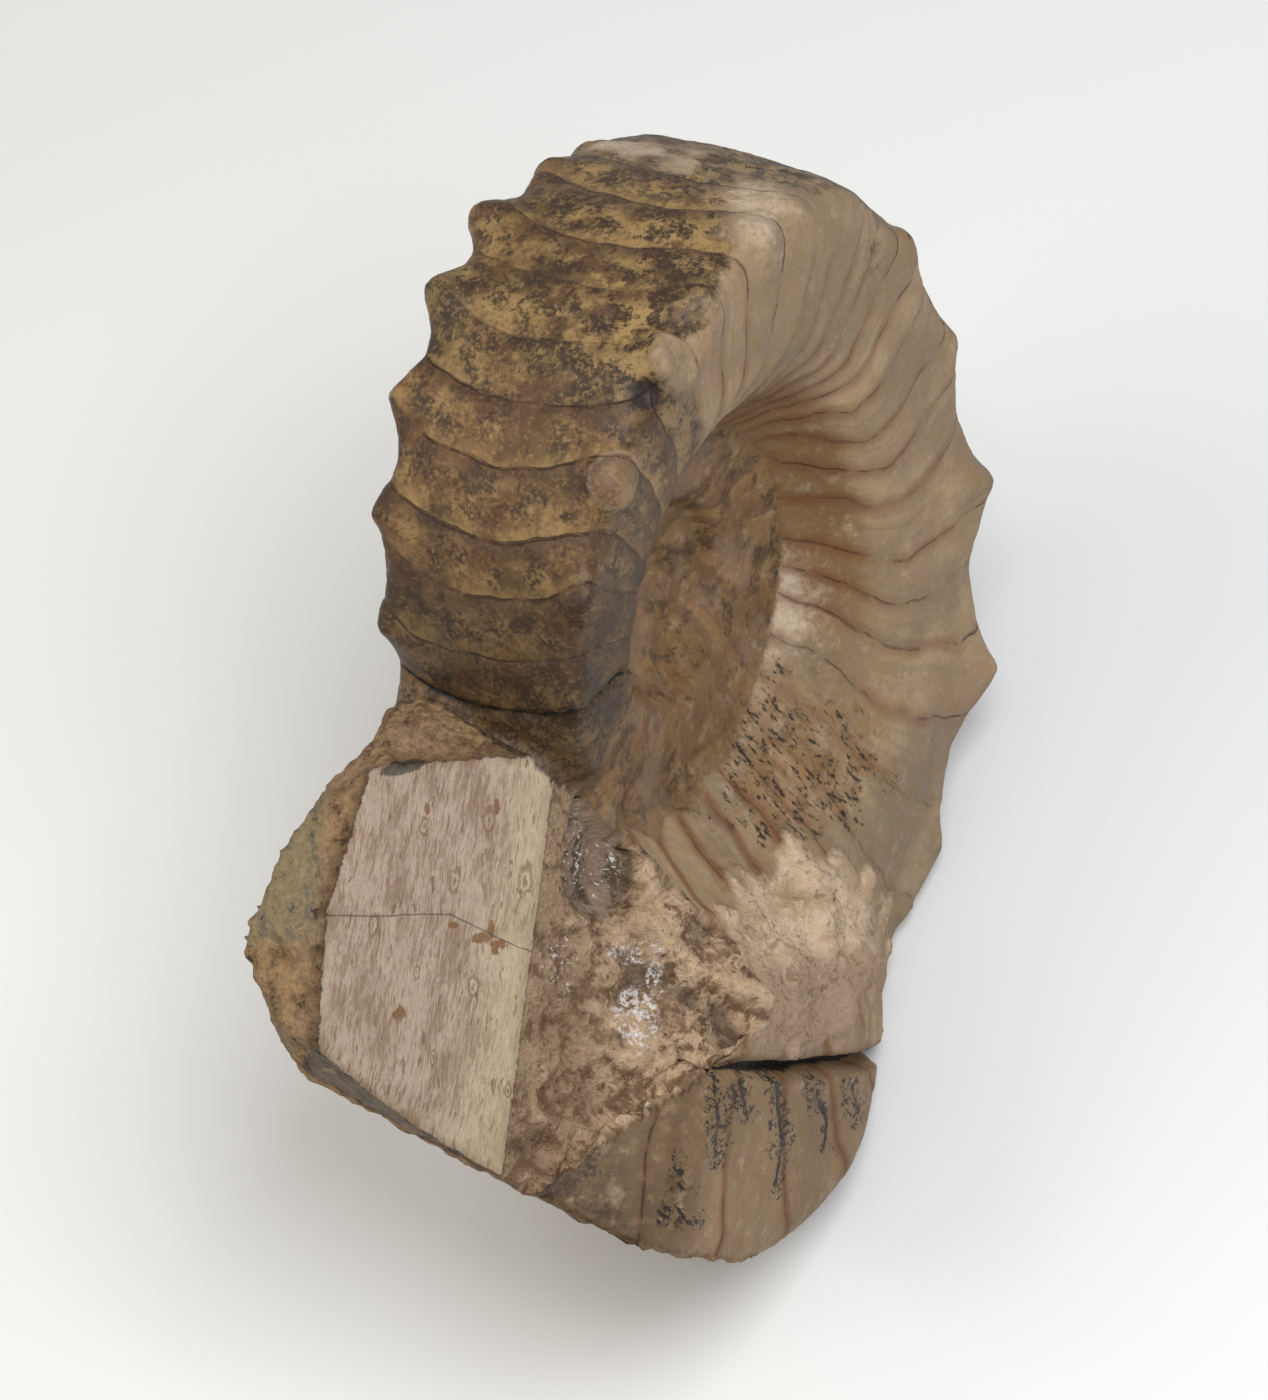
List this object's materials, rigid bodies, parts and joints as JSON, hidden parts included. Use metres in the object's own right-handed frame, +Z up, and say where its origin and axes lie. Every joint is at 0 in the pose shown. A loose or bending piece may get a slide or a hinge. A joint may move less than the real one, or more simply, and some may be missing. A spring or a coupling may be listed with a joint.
{
  "type": "fossil nautiloid",
  "caption": "Coiled fossil nautiloid standing on its broad outer edge: open flat coil, row of blunt nodes along each outer shoulder, broken oblique end, natural stone.",
  "frame": {"origin": "on the ground under the middle of the bounding box", "axes": "+Z up; the coil axis is level along Y with the better seen side towards -Y; the broken end points towards -X"},
  "size_m": [0.0898, 0.0444, 0.0832],
  "materials": {
    "nautiloid_fossil": "weathered matt limestone with a dull brown patina"
  },
  "bodies": {
    "root": {"nautiloid_fossil": "nautiloid_fossil"}
  },
  "joints": []
}
